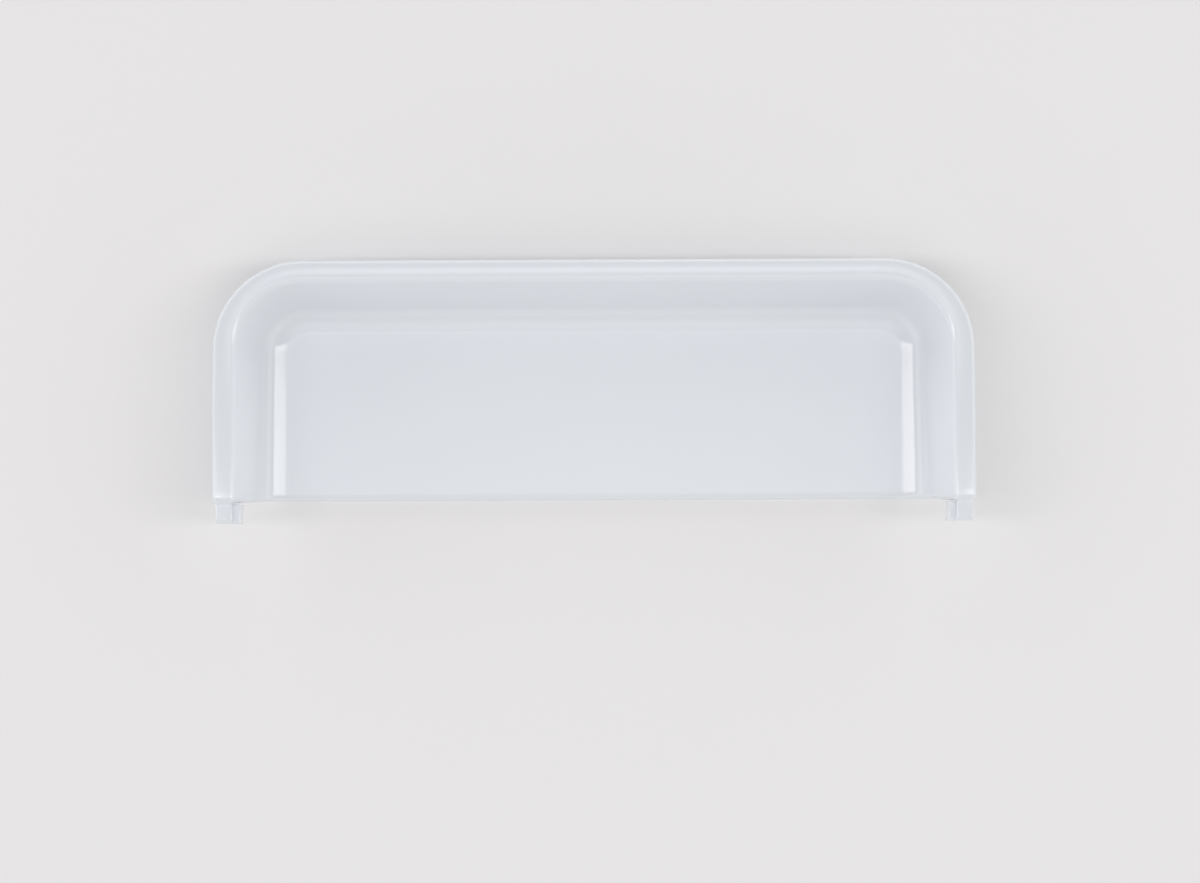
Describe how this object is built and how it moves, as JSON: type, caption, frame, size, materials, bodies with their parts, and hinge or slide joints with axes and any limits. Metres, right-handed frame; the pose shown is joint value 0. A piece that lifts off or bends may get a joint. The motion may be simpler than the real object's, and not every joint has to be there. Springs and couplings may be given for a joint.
{
  "type": "recessed dryer door handle",
  "caption": "Recessed finger pull for a clothes dryer door: a shallow moulded pocket with a flat flange round three sides and the fourth side open.",
  "frame": {"origin": "centre of the whole part in plan, tongues included, on the underside of the pocket's floor", "axes": "+X along the handle's length, +Y towards the closed side of the pocket, +Z out of the pocket's mouth, square to its floor"},
  "size_m": [0.24, 0.0834, 0.0252],
  "materials": {
    "white_plastic": "gloss"
  },
  "bodies": {
    "root": {"door_handle": "white_plastic"}
  },
  "joints": []
}
